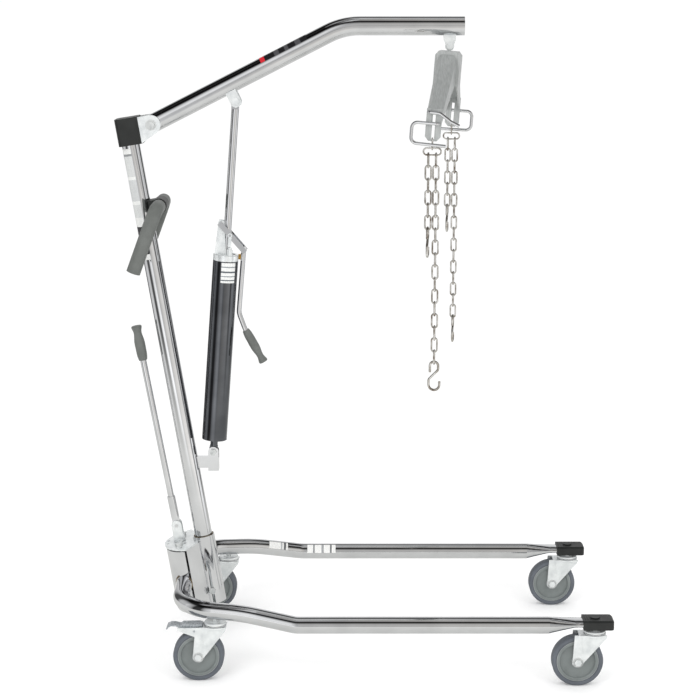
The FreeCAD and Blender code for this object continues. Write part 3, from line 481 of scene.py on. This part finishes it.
capLook = {"ridges": 4, "pitch": 6.0, "ridgeMm": (2.2, 34.0, 1.6), "back": 6.0, "sink": 3.0, "soft": 0.6}
for side in ("right", "left"):
    low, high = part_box("toe_cap_" + side)
    for count in range(capLook["ridges"]):
        along = low.x + (capLook["back"] + count * capLook["pitch"]) * mm
        spot = (along, (low.y + high.y) / 2, high.z - capLook["sink"] * mm)
        ridge = addBlock("capRidge%s%d" % (side.capitalize(), count + 1), spot, capLook["ridgeMm"],
                         capLook["soft"])
        finishPiece(ridge, blackPlastic, "leg_" + side)
print("toe caps ridged")


# Labels on the mast, boom, ram and far leg: plain blocks, no words; spans are in millimetres from each foot

shifterFromMast = {"out": 64, "up": 250}
upMast = Vector(joints["shifter_turn"]["axis"])
outMast = Vector((upMast.z, 0, -upMast.x))
shifterFoot = Vector(joints["shifter_turn"]["pos_m"])
mastFoot = shifterFoot + outMast * shifterFromMast["out"] * mm - upMast * shifterFromMast["up"] * mm
mastLabel = {"span": (1036, 1318), "tubeRadius": 22.5, "facing": (-0.62, -0.78, 0), "half": 38, "print": 0.35,
             "blocks": [(0.0, "DADBD9"), (0.05, "2A2A2C"), (0.3, "DADBD9"), (0.38, "C9CBCA"),
                        (0.5, "DFE0DE"), (0.53, "C3C5C5"), (0.72, "DFE0DE"), (0.75, "C9CBCA"),
                        (0.93, "8A8C8D"), (0.95, "DFE0DE")]}
wrappedLabel("mastLabel", mastFoot, upMast, mastLabel, "frame")

boomLabel = {"slope": 26.8, "span": (312, 440), "tubeRadius": 23.5, "facing": (-0.4, -0.62, 0.72), "half": 26,
             "print": 0.2,
             "blocks": [(0.0, "C8202C"), (0.09, "1B1B1D"), (0.3, "4A4A4D"), (0.4, "1B1B1D"),
                        (0.52, "4A4A4D"), (0.6, "1B1B1D"), (0.75, "4A4A4D"), (0.86, "1B1B1D")]}
slope = math.radians(boomLabel["slope"])
upBoom = Vector((math.cos(slope), 0, math.sin(slope)))
wrappedLabel("boomLabel", Vector(joints["boom_pivot"]["pos_m"]), upBoom, boomLabel, "boom")

ramLabel = {"span": (446, 497), "tubeRadius": 32.0, "facing": (0.35, -0.94, 0), "half": 34, "print": 0.6,
            "blocks": [(0.0, "E6E7E5"), (0.1, "5A6066"), (0.16, "E6E7E5"), (0.3, "8D9296"), (0.35, "E6E7E5"),
                       (0.5, "5A6066"), (0.58, "E6E7E5"), (0.76, "8D9296"), (0.82, "E6E7E5")]}
ramFoot = Vector(joints["cylinder_pivot"]["pos_m"])
upRam = (Vector(joints["rod_pivot"]["pos_m"]) - ramFoot).normalized()
wrappedLabel("ramLabel", ramFoot, upRam, ramLabel, "cylinder")

legLabel = {"span": (-152, -74), "tubeRadius": 21.0, "facing": (0, -0.8, 0.6), "half": 34, "print": 0.45,
            "blocks": [(0.0, "EFEFED"), (0.2, "8E9092"), (0.26, "EFEFED"), (0.5, "A0A2A4"),
                       (0.58, "EFEFED"), (0.8, "7C7E80"), (0.86, "EFEFED")]}
riseLabel = {"span": (38, 90), "tubeRadius": 21.0, "facing": (0, -0.75, 0.66), "half": 32, "print": 0.6,
             "blocks": [(0.0, "EBEBE9"), (0.62, "B2B4B6"), (0.7, "EBEBE9"), (0.78, "6A6C6E"), (0.9, "EBEBE9")]}
legPath = {"height": 0.153, "kinkForward": 0.2, "riseForward": 0.07, "riseInward": 0.022, "riseHeight": 0.175}
legY = joints["swivel_front_left"]["pos_m"][1]
wrappedLabel("legLabel", Vector((0, legY, legPath["height"])), alongX, legLabel, "leg_left")
kink = Vector((mastFoot.x + legPath["kinkForward"], legY, legPath["height"]))
rise = Vector((mastFoot.x + legPath["riseForward"], legY - legPath["riseInward"], legPath["riseHeight"]))
wrappedLabel("riseLabel", rise, (kink - rise).normalized(), riseLabel, "leg_left")
print("labels laid")


# Weld beads where the tubes are joined

socketBead = {"up": 298.5, "radius": 24.6, "wire": 1.3}
shellBead = {"back": 0.0937, "aside": 0.0705, "height": 0.185, "radius": 22.6, "wire": 2.6}
weldRing("socketWeld", mastFoot + upMast * socketBead["up"] * mm, upMast, socketBead, "frame")
for side, sign in (("right", -1), ("left", 1)):
    seam = Vector((mastFoot.x - shellBead["back"], sign * shellBead["aside"], shellBead["height"]))
    weldRing("shellWeld" + side.capitalize(), seam, (-0.44, sign * 0.9, 0), shellBead, "leg_" + side)
print("welds laid")


# Floor, light and camera

studio = {"floorSize": 400.0, "floorDrop": 0.0005, "paintedReflectionReach": (1.6, 3.2), "lightAim": (0, 0, 0.7),
          "cameraPlace": (-0.0339, -4.481, 1.729), "cameraPitch": 11.89, "lensMm": 92.262857, "sensorMm": 36.0}


def addPanels(tree, place):
    # bright panels and black flags round the set, by compass direction; they give the chrome its bands
    split = addNode(tree, "ShaderNodeSeparateXYZ", {}, {"Vector": place})
    turn = addNode(tree, "ShaderNodeMath", {"operation": "ARCTAN2"}, {0: (split, "Y"), 1: (split, "X")})
    share = addRange(tree, (turn, "Value"), (-math.pi, math.pi), (0.0, 1.0))
    panels = addRamp(tree, (share, "Result"),
                     [(0.0, grey(0.8)), (0.045, grey(0.45)), (0.065, grey(0.04)), (0.115, grey(0.05)),
                      (0.14, grey(0.5)), (0.18, grey(1.0)), (0.21, grey(1.0)), (0.235, grey(0.5)),
                      (0.27, (0.62, 0.6, 0.57, 1)), (0.33, (0.78, 0.76, 0.73, 1)), (0.39, (0.9, 0.88, 0.85, 1)),
                      (0.42, grey(0.25)), (0.445, grey(0.2)), (0.47, grey(1.0)), (0.54, grey(0.8)),
                      (0.58, grey(0.12)), (0.63, grey(0.1)), (0.67, grey(0.7)), (0.76, grey(0.95)),
                      (0.83, grey(0.5)), (0.86, grey(0.08)), (0.91, grey(0.08)), (0.94, grey(0.6))])
    return split, panels


def makeFloor():
    bpy.ops.mesh.primitive_plane_add(size=studio["floorSize"], location=(0, 0, -studio["floorDrop"]))
    floor = bpy.context.object
    floor.name = "studioFloor"
    material, tree, shader, place = newMaterial("palePaperSweep")
    fibre = addNode(tree, "ShaderNodeTexNoise", {}, {"Vector": place, "Scale": 40.0, "Detail": 2.0})
    tone = addRamp(tree, (fibre, "Fac"), [(0.3, hexColour("FBFBFB")), (0.7, hexColour("FDFDFD"))])
    # painted reflection: the chrome sees the floor painted grey near the set and with the panels' dark bands
    # further out, though no flags stand there; the camera sees plain paper
    split, panels = addPanels(tree, place)
    reach = addNode(tree, "ShaderNodeVectorMath", {"operation": "LENGTH"}, {0: place})
    fade = addRange(tree, (reach, "Value"), studio["paintedReflectionReach"], (0.0, 1.0))
    paintedReflectionTone = addNode(tree, "ShaderNodeMix", {"data_type": "RGBA"}, {"Factor": (fade, "Result")})
    paintedReflectionTone.inputs["A"].default_value = hexColour("CFCFCC")
    tree.links.new(panels.outputs["Color"], paintedReflectionTone.inputs["B"])
    path = addNode(tree, "ShaderNodeLightPath")
    # painted reflection only for glossy rays; other rays get the plain paper tone
    seen = addNode(tree, "ShaderNodeMix", {"data_type": "RGBA"}, {"Factor": (path, "Is Glossy Ray")})
    tree.links.new(tone.outputs["Color"], seen.inputs["A"])
    tree.links.new(paintedReflectionTone.outputs["Result"], seen.inputs["B"])
    tree.links.new(seen.outputs["Result"], shader.inputs["Base Color"])
    shader.inputs["Roughness"].default_value = 0.95
    shader.inputs["Specular IOR Level"].default_value = 0.0
    shader.inputs["Emission Color"].default_value = grey(1.0)
    shader.inputs["Emission Strength"].default_value = 0.05
    floor.data.materials.append(material)


def makeSky():
    # white studio, with a black flag overhead that only the chrome sees
    world = bpy.data.worlds.new("studioSky")
    bpy.context.scene.world = world
    world.use_nodes = True
    tree = world.node_tree
    tree.nodes.clear()
    coords = addNode(tree, "ShaderNodeTexCoord")
    split, panels = addPanels(tree, (coords, "Generated"))
    heights = addRamp(tree, (split, "Z"), [(0.0, grey(0.7)), (0.08, grey(0.95)), (0.35, grey(1.0)),
                                           (0.55, grey(0.8)), (0.66, grey(0.4)), (0.74, grey(0.03)),
                                           (0.88, grey(0.03)), (0.94, grey(0.6)), (1.0, grey(0.7))])
    mixed = addNode(tree, "ShaderNodeMix", {"data_type": "RGBA", "blend_type": "MULTIPLY"}, {"Factor": 1.0})
    tree.links.new(panels.outputs["Color"], mixed.inputs["A"])
    tree.links.new(heights.outputs["Color"], mixed.inputs["B"])
    path = addNode(tree, "ShaderNodeLightPath")
    shown = addNode(tree, "ShaderNodeMix", {"data_type": "RGBA"}, {"Factor": (path, "Is Glossy Ray")})
    shown.inputs["A"].default_value = grey(1.0)
    tree.links.new(mixed.outputs["Result"], shown.inputs["B"])
    sky = addNode(tree, "ShaderNodeBackground", {}, {"Color": (shown, "Result"), "Strength": 1.0})
    addNode(tree, "ShaderNodeOutputWorld", {}, {"Surface": (sky, "Background")})


def addPanelLight(name, place, size, power):
    bpy.ops.object.light_add(type="AREA", location=place)
    light = bpy.context.object
    light.name = name
    light.data.shape = "SQUARE"
    light.data.size = size
    light.data.energy = power
    light.visible_glossy = False
    heading = Vector(studio["lightAim"]) - Vector(place)
    light.rotation_euler = heading.to_track_quat("-Z", "Y").to_euler()


makeFloor()
makeSky()
addPanelLight("keyPanel", (-1.6, -3.2, 3.0), 1.6, 40)
addPanelLight("fillPanel", (2.6, -2.4, 2.2), 2.0, 20)

bpy.ops.object.camera_add(location=studio["cameraPlace"])
camera = bpy.context.object
camera.rotation_euler = (math.radians(90 - studio["cameraPitch"]), 0, 0)
camera.data.sensor_width = studio["sensorMm"]
camera.data.lens = studio["lensMm"]
bpy.context.scene.camera = camera
print("floor, light and camera set")

bpy.context.scene.view_settings.view_transform = "Standard"
